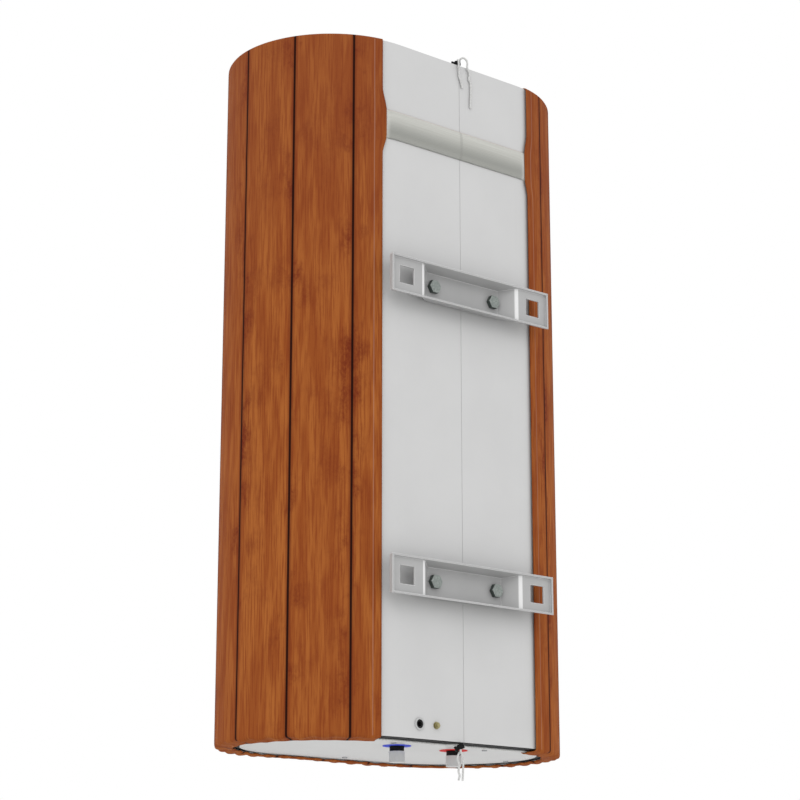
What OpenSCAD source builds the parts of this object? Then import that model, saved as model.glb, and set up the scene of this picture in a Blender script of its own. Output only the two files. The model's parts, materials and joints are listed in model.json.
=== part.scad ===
// Flat wall-hung electric storage water heater in a textile cover.
// Row frame: X across the wall, +Y into the wall, Z up. The origin is on the wall,
// midway between the two hanging holes of the upper bracket.
// Modules are written in the casing's own frame: x = 0 and y = 0 on the casing's upright
// centre line, y = +case_d / 2 at its flat rear, z = 0 at the underside. placed() moves them.

/* [Casing] */
// Width of the steel casing
case_w = 513; // [505:1:525]
// Depth of the steel casing
case_d = 295; // [290:1:300]
// Height from the underside to the top of the casing
case_h = 955; // [940:5:980]
// Thickness of the casing's sheet steel
sheet = 0.8; // [0.6:0.1:1.0]

/* [Tanks] */
// Outer radius of each steel tank
tank_r = 118; // [114:1:119]
// Thickness of the tank wall
tank_wall = 2; // [1.8:0.1:2.4]
// Distance of each tank's axis from the centre plane
tank_x = 121; // [120:1:123]
// Height of the tanks' lower ends
tank_z0 = 64; // [62:1:70]
// Height of the tanks' upper ends
tank_z1 = 925; // [890:5:925]

/* [Wall brackets] */
// Distance from the casing's rear to the wall
standoff = 25.3; // [24:0.1:28]
// Overall width of a bracket
bracket_w = 287; // [280:1:292]
// Overall height of a bracket
bracket_h = 52; // [50:1:56]
// Height of the lower bracket's centre
lower_z = 207; // [190:1:230]
// Height of the upper bracket's centre
upper_z = 613; // [600:1:640]
// Distance of the hanging holes from the centre plane
hang_x = 116; // [114:1:118]
// Width of a hanging hole
hang_w = 25; // [20:1:26]
// Height of a hanging hole
hang_h = 24; // [20:1:26]
// Distance of the bracket bolts from the centre plane
bolt_x = 54.5; // [52:0.5:56]

/* [Water connections] */
// Distance between the cold and hot connections
stub_pitch = 100; // [96:1:104]
// Distance of the connections behind the centre plane
stub_y = 71; // [66:1:74]
// Outer radius of the pipe connection, G1/2
stub_r = 10.48; // [10.4:0.01:10.6]
// Lowest point of the connections below the underside
stub_drop = 21; // [20:1:24]

/* [Textile cover] */
// Thickness of the cover's fabric
fabric_t = 2.2; // [2:0.1:2.6]
// Gap between casing and fabric
fabric_gap = 0.4; // [0.3:0.1:0.6]
// Distance of the cover's right rear edge from the centre plane
cover_edge_right = 140.5; // [138:0.5:142]
// Distance of the cover's left rear edge from the centre plane
cover_edge_left = 129.5; // [128:0.5:134]
// Width of the hems that turn over the top and under the bottom
hem_w = 21.5; // [20:0.5:24]

/* [Hidden] */
$fn = 96;
half_flat = (case_w - case_d) / 2;
case_r = case_d / 2;
case_z0 = 1.5;
rear = case_r;
rim_y = rear + standoff;
cover_r = case_r + fabric_gap + fabric_t;
hem_t = 2.6;
hem_gap = 0.3;

// bottom plate inside its black ring
plate_r = 126.5;
plate_flat = 98;
plate_t = 1.5;
ring_z0 = 0.5;
ring_h = 6;
ring_ledge = 34;
plate_screw_r = 100;
plate_screw_x = 80;
plate_tip_screw_x = 213;

// bolts that hold the brackets
bolt_r = 5;
bolt_af = 17;
bolt_head = 6.4;
boss_r = 11;
boss_proud = 1.5;
rail_t = 5;
rail_w = 300;
rail_h = 40;
bracket_t = 2.5;
bracket_lip = 3.3;
bracket_bend_x = 90.4;
bracket_bend_r = 12;
bracket_wall_a = 42;
bracket_base_x = 66;
flange_in = 5.2;

// cable entry and earth screw, on the casing's rear near its lower edge
gland_x = 77;
gland_z = 20.5;
gland_r = 7.8;
gland_neck_r = 6.9;
grommet_r = 5.8;
cable_bore_r = 3.5;
earth_x = 48;
earth_z = 20.3;

// heating flanges under the tanks
flange_r = 46;
flange_t = 5;
flange_bolt_r = 38;
flange_bolts = 6;
element_r = 4.2;
element_x = 22;
element_top = 330;
anode_r = 11;
anode_y = -24;
anode_top = 380;

// control panel on the front
panel_z = 118;
panel_w = 168;
panel_h = 56;
panel_t = 6;
panel_skin = 2;
panel_y = -case_r;
window_w = 64;
window_h = 24;
window_x = 34;
knob_x = -52;
knob_r = 18;
knob_d = 14;
knob_gap = 0.5;
shaft_r = 3;
shaft_bore_r = 3.05;
button_x = -10;
button_r = 6;
button_bore_r = 6.08;
button_proud = 2.4;
button_travel = 1.5;

// drawstrings, run in the hems and across the rear
string_r = 1.4;
string_path_r = 130;
string_steps = 16;
string_z_low = -0.95;
string_z_top = case_h + 1.5;
tail_r = 1.4;

// cord locks: a sprung plunger in a barrel, with the strings through both
lock_r = 3.8;
lock_len = 7.5;
lock_bore_r = 2.9;
lock_floor = 1.4;
plunger_r = 2.84;
plunger_head = 2.6;
plunger_head_r = 3.6;
plunger_gap = 2.5;
lock_yaw = 140;
lock_tilt_low = 26;
lock_tilt_top = 8;
low_lock = [7.2, 149.8, -4.2];
top_lock = [-1, 144, case_h + 5.3];

// elastic strap across the rear
strap_z = 833;
strap_h = 42;
strap_t = 4.6;
strap_gap = 0.3;

// free ends of the drawstrings: round numbers, in the casing's frame
low_route_a = [[8.5, 150.8, -8.2], [8.7, 151.1, -11.4], [6.3, 151, -15.6], [3.6, 149.8, -21],
               [3.2, 149.4, -28], [3.6, 149.2, -40], [4.3, 149.2, -48]];
low_route_b = [[6.2, 148.3, -8.6], [7.9, 147.8, -11.4], [11, 148.2, -15.8], [11.5, 147.8, -21],
               [8.6, 147.4, -27.3], [9.2, 147, -36.5], [7.4, 147, -41.5], [9.3, 147, -47.7]];
top_route_a = [[0.2, 144.9, case_h + 9.5], [0.6, 147.4, case_h + 8.4], [2.3, 149.8, case_h + 4.4],
               [2.9, 150.6, case_h - 2.2], [1.9, 150, case_h - 9], [1.2, 149.4, case_h - 17.5],
               [-1.8, 149.2, case_h - 24.5], [-4.7, 149.2, case_h - 33.5]];
top_route_b = [[-2.9, 143.9, case_h + 9], [-4, 146.8, case_h + 11.6], [-6.2, 149, case_h + 13.1],
               [-10, 150.2, case_h + 12], [-13.1, 150.8, case_h + 8], [-13.3, 150.4, case_h],
               [-17.3, 149.6, case_h - 5.6], [-18.4, 149.2, case_h - 11.2], [-17.3, 149.2, case_h - 16.4],
               [-20.2, 149.2, case_h - 21.6], [-20.8, 149.2, case_h - 30], [-20.7, 149.2, case_h - 38.5],
               [-20.1, 149.2, case_h - 47], [-19.9, 149.2, case_h - 60]];

// last stretch of each drawstring, off its straight run along the rear and into its lock
low_lead_right = [[22, 130, string_z_low], [12, 140, -1.3], [7.3, 145.5, -2]];
low_lead_left = [[-4, 130, string_z_low], [1, 141, -1.4], [4.1, 147.1, -1.8]];
top_lead_right = [[2, 130, string_z_top], [-1, 136.5, case_h + 1.6], [-2.6, 140.3, case_h + 2.9]];
top_lead_left = [[-14, 130, string_z_top], [-8, 138.5, case_h + 1.7], [-5, 142.2, case_h + 3.3]];

// ---------------------------------------------------------------- helpers

module placed() {
    translate([0, -rim_y, -upper_z]) children();
}

// racetrack outline: two half circles and the flats between them
module stadium(flat, r) {
    union() {
        square([2 * flat, 2 * r], center = true);
        for (s = [-1, 1]) translate([s * flat, 0]) circle(r);
    }
}

module prism(z0, z1) {
    translate([0, 0, z0]) linear_extrude(z1 - z0) children();
}

// cylinder along +Y from y0 to y1 at (x, z)
module rod_y(x, z, y0, y1, r) {
    translate([x, y0, z]) rotate([-90, 0, 0]) cylinder(r = r, h = y1 - y0);
}

module rod_z(x, y, z0, z1, r) {
    translate([x, y, z0]) cylinder(r = r, h = z1 - z0);
}

// hexagonal prism along +Y, by its width across flats
module hex_y(x, z, y0, y1, af) {
    translate([x, y0, z]) rotate([-90, 0, 0]) cylinder(r = af / sqrt(3), h = y1 - y0, $fn = 6);
}

module hex_z(x, y, z0, z1, af) {
    translate([x, y, z0]) cylinder(r = af / sqrt(3), h = z1 - z0, $fn = 6);
}

function arc(cx, cy, r, a0, a1, n = 8) =
    [for (i = [0:n]) let (a = a0 + (a1 - a0) * i / n) [cx + r * cos(a), cy + r * sin(a)]];

// round tube swept along points; up is any direction that the route never takes
function unit(v) = v / norm(v);
function tangent(p, i) = unit(p[min(i + 1, len(p) - 1)] - p[max(i - 1, 0)]);
function ring_at(p, i, r, n, up) =
    let (t = tangent(p, i), u = unit(cross(t, up)), v = cross(t, u))
    [for (k = [0:n - 1]) p[i] + r * (cos(360 * k / n) * u + sin(360 * k / n) * v)];

module swept_cord(p, r, up = [0, 1, 0], n = 8) {
    rings = [for (i = [0:len(p) - 1]) each ring_at(p, i, r, n, up)];
    last = (len(p) - 1) * n;
    walls = [for (i = [0:len(p) - 2], k = [0:n - 1])
        [i * n + k, i * n + (k + 1) % n, (i + 1) * n + (k + 1) % n, (i + 1) * n + k]];
    caps = [[for (k = [n - 1:-1:0]) k], [for (k = [0:n - 1]) last + k]];
    polyhedron(points = rings, faces = concat(caps, walls), convexity = 4);
}

// ---------------------------------------------------------------- casing

module casing_shell() {
    seam_w = 1;
    seam_d = 0.4;
    color("gainsboro") placed() difference() {
        prism(case_z0, case_h) stadium(half_flat, case_r);
        prism(0, case_h + 1) stadium(half_flat, case_r - sheet);
        translate([-seam_w / 2, rear - seam_d, 0]) cube([seam_w, 2, case_h + 1]);
        for (z = [lower_z, upper_z], s = [-1, 1])
            rod_y(s * bolt_x, z, rear - 2, rear + 1, boss_r + 0.5);
        rod_y(gland_x, gland_z, rear - 2, rear + 1, gland_neck_r + 0.1);
        rod_y(earth_x, earth_z, rear - 2, rear + 1, 2.1);
        translate([-panel_w / 2 + 8, -case_r - 1, panel_z - panel_h / 2 + 8])
            cube([panel_w - 16, 3, panel_h - 16]);
    }
}

// pressed lid: a flat top with a skirt that slides inside the casing
module top_cap() {
    skirt_h = 14;
    lid_t = 1.2;
    color("gainsboro") placed() difference() {
        prism(case_h - skirt_h, case_h) stadium(half_flat, case_r - sheet);
        prism(case_h - skirt_h - 1, case_h - lid_t) stadium(half_flat, case_r - 2 * sheet);
    }
}

module base_ring() {
    color("black") placed() difference() {
        union() {
            prism(ring_z0, case_z0) stadium(half_flat, case_r);
            prism(case_z0, ring_h) stadium(half_flat, case_r - sheet);
        }
        prism(0, plate_t) stadium(plate_flat, plate_r);
        prism(plate_t, ring_h + 1) stadium(plate_flat, plate_r - ring_ledge);
        plate_screws() rod_z(0, 0, 0, ring_h + 1, 1.6);
    }
}

module plate_screws() {
    for (s = [-1, 1]) {
        translate([s * plate_tip_screw_x, 0, 0]) children();
        translate([s * plate_screw_x, plate_screw_r, 0]) children();
    }
    translate([0, -plate_screw_r, 0]) children();
}

module bottom_cover() {
    color("whitesmoke") placed() difference() {
        prism(0, plate_t) stadium(plate_flat, plate_r);
        for (s = [-1, 1]) rod_z(s * stub_pitch / 2, stub_y, -1, plate_t + 1, 13);
        plate_screws() rod_z(0, 0, -1, plate_t + 1, 1.6);
        rod_z(0, 0, -1, plate_t + 1, 1.6);
    }
}

module bottom_cover_screws() {
    color("lightgray") placed() {
        plate_screws() pan_screw(ring_h);
        pan_screw(14);
    }
}

module pan_screw(top) {
    difference() {
        union() {
            translate([0, 0, -1.4]) cylinder(r = 3.6, h = 1.4);
            cylinder(r = 1.6, h = top);
        }
        translate([-3, -0.5, -1.5]) cube([6, 1, 0.7]);
    }
}

// ---------------------------------------------------------------- tanks

module tank_profile(r, z0, z1) {
    dish = 22;
    polygon(concat([[0, z0]], arc(r - dish, z0 + dish, dish, -90, 0, 6),
                   arc(r - dish, z1 - dish, dish, 0, 90, 6), [[0, z1]]));
}

module tank(x) {
    difference() {
        translate([x, 0, 0]) rotate_extrude() tank_profile(tank_r, tank_z0, tank_z1);
        translate([x, 0, 0]) rotate_extrude()
            tank_profile(tank_r - tank_wall, tank_z0 + tank_wall, tank_z1 - tank_wall);
        rod_z(x, 0, tank_z0 - 1, tank_z0 + 20, flange_r - 16);
        rod_z(sign(x) * stub_pitch / 2, stub_y, tank_z0 - 1, tank_z0 + 60, stub_r);
        for (z = link_heights())
            translate([0, 0, z]) rotate([0, 90, 0]) cylinder(r = 9, h = 60, center = true);
    }
}

function link_heights() = [tank_z0 + 46, tank_z1 - 60];

module cold_tank() {
    color("steelblue") placed() tank(tank_x);
}

module hot_tank() {
    color("indianred") placed() tank(-tank_x);
}

// two short pipes that join the tanks across the gap between them
module tank_link_pipes() {
    link_l = 2 * (tank_x - tank_r) + 16;
    color("silver") placed() for (z = link_heights())
        translate([0, 0, z]) rotate([0, 90, 0]) difference() {
            cylinder(r = 9, h = link_l, center = true);
            cylinder(r = 7.5, h = link_l + 2, center = true);
        }
}

module tank_tie_plate() {
    color("silver") placed() difference() {
        union() {
            translate([-60, -22, tank_z0 - 3]) cube([120, 44, 3]);
            rod_z(0, 0, plate_t, tank_z0 - 3, 5);
        }
        rod_z(0, 0, 0, 14, 1.6);
    }
}

// cold water enters through a short pipe with a baffle that stops it rising
module cold_inlet_pipe() {
    top = tank_z0 + 62;
    color("silver") placed() difference() {
        union() {
            rod_z(stub_pitch / 2, stub_y, ring_h, top, stub_r);
            rod_z(stub_pitch / 2, stub_y, top, top + 2, stub_r + 4);
        }
        rod_z(stub_pitch / 2, stub_y, ring_h - 1, top - 0.5, stub_r - 2.2);
        for (a = [0, 90]) translate([stub_pitch / 2, stub_y, top - 7]) rotate([0, 90, a])
            cylinder(r = 4, h = 40, center = true);
    }
}

// hot water leaves through a long pipe that opens at the top of its tank
module hot_outlet_pipe() {
    top = tank_z1 - 26;
    color("silver") placed() difference() {
        rod_z(-stub_pitch / 2, stub_y, ring_h, top, stub_r);
        rod_z(-stub_pitch / 2, stub_y, ring_h - 1, top + 1, stub_r - 2.2);
    }
}

module insulation_foam() {
    top = case_h - 1.3;
    color("khaki") placed() difference() {
        prism(tank_z0 + 6, top) stadium(half_flat, case_r - 2 * sheet - 0.1);
        for (s = [-1, 1]) {
            rod_z(s * tank_x, 0, tank_z0, tank_z1, tank_r);
            rod_z(s * stub_pitch / 2, stub_y, tank_z0, tank_z0 + 60, stub_r + 0.2);
        }
        for (z = [lower_z, upper_z]) {
            translate([-rail_w / 2, tank_r, z - rail_h / 2]) cube([rail_w, rail_t, rail_h]);
            for (s = [-1, 1]) rod_y(s * bolt_x, z, tank_r - 30, rear, boss_r);
        }
        for (z = link_heights())
            translate([0, 0, z]) rotate([0, 90, 0]) cylinder(r = 9, h = 60, center = true);
        translate([-panel_w / 2, -case_r, panel_z - panel_h / 2 - 6])
            cube([panel_w, 26, panel_h + 12]);
    }
}

// ---------------------------------------------------------------- water connections

module marking_ring(x) {
    ring_t = 0.8;
    difference() {
        rod_z(x, stub_y, -ring_t, 0, 19);
        rod_z(x, stub_y, -3, 1, 10.6);
    }
}

module cold_ring() {
    color("royalblue") placed() marking_ring(stub_pitch / 2);
}

module hot_ring() {
    color("red") placed() marking_ring(-stub_pitch / 2);
}

module stub_pair() {
    for (s = [-1, 1]) translate([s * stub_pitch / 2, stub_y, 0]) children();
}

// plastic collars that insulate the pipes from the casing
module stub_collars() {
    color("black") placed() stub_pair() difference() {
        translate([0, 0, -7.5]) cylinder(r = 9.6, h = 13.5);
        translate([0, 0, -8.5]) cylinder(r = 8.2, h = 15.5);
    }
}

module stub_nipples() {
    color("darkgray") placed() stub_pair() difference() {
        translate([0, 0, -stub_drop]) cylinder(r = stub_r, h = stub_drop - 7.5);
        translate([0, 0, -stub_drop - 1]) cylinder(r = 8.2, h = stub_drop);
    }
}

// push-in plugs that keep dirt out until the pipes are connected
module stub_plugs() {
    color("white") placed() stub_pair() {
        translate([0, 0, -stub_drop - 1]) cylinder(r = 10, h = 1);
        translate([0, 0, -stub_drop]) cylinder(r = 8.2, h = 8);
    }
}

// ---------------------------------------------------------------- wall fixing

// flat bars welded across the back of both tanks
module support_rails() {
    color("dimgray") placed() for (z = [lower_z, upper_z])
        difference() {
            translate([-rail_w / 2, tank_r, z - rail_h / 2]) cube([rail_w, rail_t, rail_h]);
            for (s = [-1, 1]) rod_y(s * bolt_x, z, tank_r - 1, tank_r + rail_t + 1, bolt_r);
        }
}

module rail_bosses() {
    color("dimgray") placed() for (z = [lower_z, upper_z], s = [-1, 1])
        difference() {
            rod_y(s * bolt_x, z, tank_r + rail_t, rear + boss_proud, boss_r);
            rod_y(s * bolt_x, z, tank_r, rear + 4, bolt_r);
        }
}

// plan outline of one bracket, y measured from the wall plane towards the casing.
// inset 0 is the outside of the pressing, bracket_t the inside.
function bracket_half(inset) =
    let (lip = bracket_lip + bracket_t - inset,
         base = standoff - boss_proud - inset,
         a = bracket_wall_a,
         r = bracket_bend_r - bracket_t + inset,
         cx = bracket_bend_x,
         cy = -lip - r,
         end_x = cx - r * sin(a),
         end_y = cy + r * cos(a),
         foot_x = end_x - (base + end_y) / tan(a))
    concat([[bracket_w / 2 - inset, inset > 0 ? 1 : 0], [bracket_w / 2 - inset, -lip]],
           arc(cx, cy, r, 90, 90 + a, 6), [[foot_x, -base]]);

module bracket_plan(inset) {
    half = bracket_half(inset);
    n = len(half);
    polygon(concat(half, [for (i = [n - 1:-1:0]) [-half[i][0], half[i][1]]]));
}

// side profile: the two flanges lean in towards the casing
module bracket_side(inset) {
    h = bracket_h / 2 - inset;
    polygon([[1, h], [0, h], [-standoff, h - flange_in], [-standoff, -h + flange_in], [0, -h], [1, -h]]);
}

module bracket_body(inset) {
    intersection() {
        translate([0, rim_y, -bracket_h]) linear_extrude(2 * bracket_h) bracket_plan(inset);
        translate([-bracket_w, rim_y, 0]) rotate([90, 0, 90]) linear_extrude(2 * bracket_w)
            bracket_side(inset);
    }
}

module bracket(z) {
    translate([0, 0, z]) difference() {
        bracket_body(0);
        bracket_body(bracket_t);
        for (s = [-1, 1]) {
            translate([s * hang_x - hang_w / 2, rim_y - 12, -hang_h / 2]) cube([hang_w, 20, hang_h]);
            rod_y(s * bolt_x, 0, rear, rim_y, bolt_r);
        }
    }
}

module upper_bracket() {
    color("lightgray") placed() bracket(upper_z);
}

module lower_bracket() {
    color("lightgray") placed() bracket(lower_z);
}

module bracket_bolts() {
    seat = rear + boss_proud + bracket_t;
    color("slategray") placed() for (z = [lower_z, upper_z], s = [-1, 1]) {
        intersection() {
            hex_y(s * bolt_x, z, seat, seat + bolt_head, bolt_af);
            translate([s * bolt_x, seat, z]) rotate([-90, 0, 0])
                cylinder(r1 = 14, r2 = 9.2, h = bolt_head);
        }
        rod_y(s * bolt_x, z, tank_r, seat, bolt_r);
    }
}

// ---------------------------------------------------------------- cable entry and earth

module cable_gland() {
    color("gray") placed() difference() {
        union() {
            rod_y(gland_x, gland_z, rear, rear + 1.6, gland_r);
            rod_y(gland_x, gland_z, rear - 12, rear, gland_neck_r);
        }
        rod_y(gland_x, gland_z, rear - 13, rear + 3, grommet_r);
    }
}

module gland_nut() {
    color("gray") placed() difference() {
        hex_y(gland_x, gland_z, rear - sheet - 5, rear - sheet, 19);
        rod_y(gland_x, gland_z, rear - 8, rear, gland_neck_r);
    }
}

module gland_grommet() {
    color("black") placed() difference() {
        rod_y(gland_x, gland_z, rear - 12, rear + 0.8, grommet_r);
        rod_y(gland_x, gland_z, rear - 13, rear + 2, cable_bore_r);
    }
}

module earth_screw() {
    color("goldenrod") placed() {
        hex_y(earth_x, earth_z, rear + 0.6, rear + 3.6, 7.2);
        rod_y(earth_x, earth_z, rear - 9, rear + 0.6, 2);
        rod_y(earth_x, earth_z, rear + 3.6, rear + 4.6, 2.4);
    }
}

module earth_washer() {
    color("gold") placed() difference() {
        rod_y(earth_x, earth_z, rear, rear + 0.6, 4.8);
        rod_y(earth_x, earth_z, rear - 1, rear + 1, 2);
    }
}

// ---------------------------------------------------------------- heating

module under_tanks() {
    for (s = [-1, 1]) translate([s * tank_x, 0, 0]) children();
}

module flange_bolt_ring() {
    for (i = [0:flange_bolts - 1]) rotate([0, 0, 360 * i / flange_bolts + 30])
        translate([flange_bolt_r, 0, 0]) children();
}

module element_flanges() {
    z1 = tank_z0 - 2;
    color("silver") placed() under_tanks() difference() {
        rod_z(0, 0, z1 - flange_t, z1, flange_r);
        flange_bolt_ring() rod_z(0, 0, z1 - flange_t - 1, z1 + 1, 3.2);
        for (s = [-1, 1]) rod_z(s * element_x, 8, z1 - flange_t - 1, z1 + 1, element_r);
        rod_z(0, anode_y, z1 - flange_t - 1, z1 + 1, 4);
        rod_z(0, 12, z1 - flange_t - 1, z1 + 1, 5);
    }
}

module flange_gaskets() {
    z1 = tank_z0;
    color("black") placed() under_tanks() difference() {
        rod_z(0, 0, z1 - 2, z1, flange_r);
        rod_z(0, 0, z1 - 3, z1 + 1, flange_r - 16);
        flange_bolt_ring() rod_z(0, 0, z1 - 3, z1 + 1, 3.2);
    }
}

module flange_bolts() {
    seat = tank_z0 - 2 - flange_t;
    color("gray") placed() under_tanks() flange_bolt_ring() {
        hex_z(0, 0, seat - 4, seat, 10);
        rod_z(0, 0, seat, tank_z0, 3.2);
    }
}

// one hairpin element per tank, with its terminals under the flange
module heating_elements() {
    z0 = tank_z0 - 2 - flange_t - 12;
    color("peru") placed() under_tanks() translate([0, 8, 0]) {
        for (s = [-1, 1]) {
            rod_z(s * element_x, 0, z0 + 6, element_top, element_r);
            rod_z(s * element_x, 0, z0, z0 + 6, 2);
        }
        translate([0, 0, element_top]) rotate([90, 0, 0]) intersection() {
            rotate_extrude() translate([element_x, 0]) circle(element_r);
            translate([-40, 0, -10]) cube([80, 40, 20]);
        }
    }
}

module anode_rods() {
    z1 = tank_z0 - 2;
    color("gainsboro") placed() under_tanks() translate([0, anode_y, 0]) {
        rod_z(0, 0, z1 - flange_t - 3, z1 + 12, 4);
        translate([0, 0, z1 + 12]) cylinder(r = anode_r - 5, h = anode_top - z1 - 12);
        hex_z(0, 0, z1 - flange_t - 9, z1 - flange_t - 3, 13);
    }
}

// closed tubes that hold the temperature sensors inside the water
module sensor_pocket() {
    z1 = tank_z0 - 2;
    color("lightgray") placed() under_tanks() difference() {
        rod_z(0, 12, z1 - flange_t - 2, tank_z0 + 180, 5);
        rod_z(0, 12, z1 - flange_t - 3, tank_z0 + 178, 3.6);
    }
}

module thermostat() {
    color("ivory") placed() {
        translate([tank_x - 15, 8, 22]) cube([30, 33, 26]);
        rod_z(tank_x, 12, 30, tank_z0 + 160, 3.5);
    }
}

module thermal_cutout() {
    color("ivory") placed() {
        translate([-tank_x - 15, 8, 22]) cube([30, 33, 26]);
        rod_z(-tank_x, 12, 30, tank_z0 + 160, 3.5);
        rod_z(-tank_x, 29, 19, 22, 3);
    }
}

module terminal_block() {
    color("white") placed() difference() {
        translate([48, 108, 8]) cube([58, 18, 20]);
        for (i = [0:2]) {
            rod_y(58 + 19 * i, 18, 107, 127, 3.4);
            rod_z(58 + 19 * i, 117, 22, 29, 2.6);
        }
    }
}

// insulated leads, clipped along the ring inside the compartment
module internal_wiring() {
    color("saddlebrown") placed() {
        lead([[58, 107, 18], [58, 92, 14], [80, 84, 12], [108, 60, 14], [115, 42, 26]]);
        lead([[77, 107, 18], [77, 96, 12], [30, 92, 10], [-90, 84, 12], [-116, 60, 18], [-116, 42, 30]]);
        lead([[96, 107, 18], [100, 90, 16], [128, 70, 16], [126, 42, 32]]);
        lead([[106, 22, 26], [96, 16, 25], [86, -30, 24], [60, -90, 30], [40, -128, 60], [40, -130, 96]]);
    }
}

module lead(p) {
    swept_cord(p, 1.6);
}

// ---------------------------------------------------------------- control panel

module control_panel() {
    color("black") placed() difference() {
        union() {
            translate([-panel_w / 2, panel_y - panel_t, panel_z - panel_h / 2])
                cube([panel_w, panel_t, panel_h]);
            translate([-panel_w / 2 + 8.3, panel_y, panel_z - panel_h / 2 + 8.3])
                cube([panel_w - 16.6, 4, panel_h - 16.6]);
        }
        translate([-panel_w / 2 + 11, panel_y - panel_t + panel_skin, panel_z - panel_h / 2 + 11])
            cube([panel_w - 22, panel_t + 6, panel_h - 22]);
        translate([window_x - window_w / 2, panel_y - panel_t - 1, panel_z - window_h / 2])
            cube([window_w, panel_skin + 2, window_h]);
        rod_y(knob_x, panel_z, panel_y - panel_t - 1, panel_y, shaft_bore_r);
        rod_y(button_x, panel_z, panel_y - panel_t - 1, panel_y, button_bore_r);
    }
}

module display_window() {
    color("darkslategray") placed()
        translate([window_x - window_w / 2, panel_y - panel_t + 0.2, panel_z - window_h / 2])
            cube([window_w, panel_skin - 0.2, window_h]);
}

module control_board() {
    color("green") placed() {
        translate([-panel_w / 2 + 12, panel_y + 6, panel_z - 16]) cube([panel_w - 24, 1.6, 32]);
        translate([window_x - 28, panel_y - panel_t + panel_skin + 0.2, panel_z - 10])
            cube([56, 9.8, 20]);
    }
}

module knob_encoder() {
    color("silver") placed() difference() {
        translate([knob_x - 6.5, panel_y - 1, panel_z - 6.5]) cube([13, 7, 13]);
        rod_y(knob_x, panel_z, panel_y - 2, panel_y + 5, shaft_bore_r);
    }
}

module temperature_knob() {
    front = panel_y - panel_t - knob_gap;
    color("gainsboro") placed() {
        difference() {
            rod_y(knob_x, panel_z, front - knob_d, front, knob_r);
            translate([knob_x - 1, front - knob_d - 1, panel_z + 6]) cube([2, 2, knob_r - 8]);
        }
        rod_y(knob_x, panel_z, front, panel_y + 4, shaft_r);
    }
}

module power_button() {
    color("silver") placed() {
        rod_y(button_x, panel_z, panel_y - panel_t - button_proud, panel_y - 2, button_r);
        rod_y(button_x, panel_z, panel_y - 2, panel_y - 0.5, 2);
    }
}

module button_switch() {
    color("black") placed() difference() {
        translate([button_x - 3.5, panel_y - 0.3, panel_z - 3.5]) cube([7, 6.3, 7]);
        rod_y(button_x, panel_z, panel_y - 1, panel_y + 2.5, 2.1);
    }
}

// ---------------------------------------------------------------- textile cover

// strip of the rear that the cover leaves bare, narrower by gap at each side
module bare_rear(gap) {
    translate([gap - cover_edge_left, 0])
        square([cover_edge_left + cover_edge_right - 2 * gap, 2 * cover_r]);
}

// plan of the cover: all of the racetrack except the strip between its rear edges
module cover_plan(inner_r) {
    difference() {
        stadium(half_flat, cover_r);
        if (inner_r > 0) stadium(half_flat, inner_r);
        bare_rear(0);
    }
}

module textile_cover() {
    low = -hem_gap - hem_t;
    top = case_h + hem_gap + hem_t;
    color("sienna") placed() difference() {
        union() {
            prism(low, top) cover_plan(case_r + fabric_gap);
            prism(low, -hem_gap) cover_plan(case_r - hem_w);
            prism(case_h + hem_gap, top) cover_plan(case_r - hem_w);
        }
        translate([-panel_w / 2 - 3, -cover_r - 1, panel_z - panel_h / 2 - 3])
            cube([panel_w + 6, 10, panel_h + 6]);
    }
}

// elastic strap across the bare rear, from one cover edge to the other
module cover_strap() {
    color("lightgray") placed() prism(strap_z - strap_h / 2, strap_z + strap_h / 2)
        intersection() {
            difference() {
                stadium(half_flat, case_r + fabric_gap + strap_t);
                stadium(half_flat, case_r + fabric_gap);
            }
            bare_rear(strap_gap);
        }
}

// one drawstring: from its lock along the rear, round one end, along the front,
// round the other end and back to the lock
module drawstring(z, lead_right, lead_left) {
    r = string_path_r;
    round_right = arc(half_flat, 0, r, 90, -90, string_steps);
    round_left = arc(-half_flat, 0, r, 270, 90, string_steps);
    loop = [for (p = concat(round_right, round_left)) [p.x, p.y, z]];
    n = len(lead_right);
    swept_cord(concat([for (i = [n - 1:-1:0]) lead_right[i]], loop, lead_left), string_r,
               up = [0, 0, 1]);
}

module bottom_drawstring() {
    color("white") placed() drawstring(string_z_low, low_lead_right, low_lead_left);
}

module top_drawstring() {
    color("white") placed() drawstring(string_z_top, top_lead_right, top_lead_left);
}

module lock_place(p, tilt) {
    translate(p) rotate([0, 0, lock_yaw]) rotate([0, -tilt, 0]) rotate([0, 90, 0])
        translate([0, 0, -lock_len / 2]) children();
}

// barrel along its own +z, open at z = 0 where the plunger goes in
module lock_barrel() {
    difference() {
        cylinder(r = lock_r, h = lock_len);
        translate([0, 0, -1]) cylinder(r = lock_bore_r, h = lock_len - lock_floor + 1);
    }
}

module lock_plunger() {
    translate([0, 0, -plunger_gap]) cylinder(r = plunger_r, h = lock_len - lock_floor - 0.8);
    translate([0, 0, -plunger_gap - plunger_head]) cylinder(r = plunger_head_r, h = plunger_head);
}

module bottom_lock_barrel() {
    color("black") placed() lock_place(low_lock, lock_tilt_low) lock_barrel();
}

module bottom_lock_plunger() {
    color("black") placed() lock_place(low_lock, lock_tilt_low) lock_plunger();
}

module top_lock_barrel() {
    color("black") placed() lock_place(top_lock, lock_tilt_top) lock_barrel();
}

module top_lock_plunger() {
    color("black") placed() lock_place(top_lock, lock_tilt_top) lock_plunger();
}

module bottom_tail_a() {
    color("white") placed() swept_cord(low_route_a, tail_r);
}

module bottom_tail_b() {
    color("white") placed() swept_cord(low_route_b, tail_r);
}

module top_tail_a() {
    color("white") placed() swept_cord(top_route_a, tail_r);
}

module top_tail_b() {
    color("white") placed() swept_cord(top_route_b, tail_r);
}

// ---------------------------------------------------------------- nodes

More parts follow.
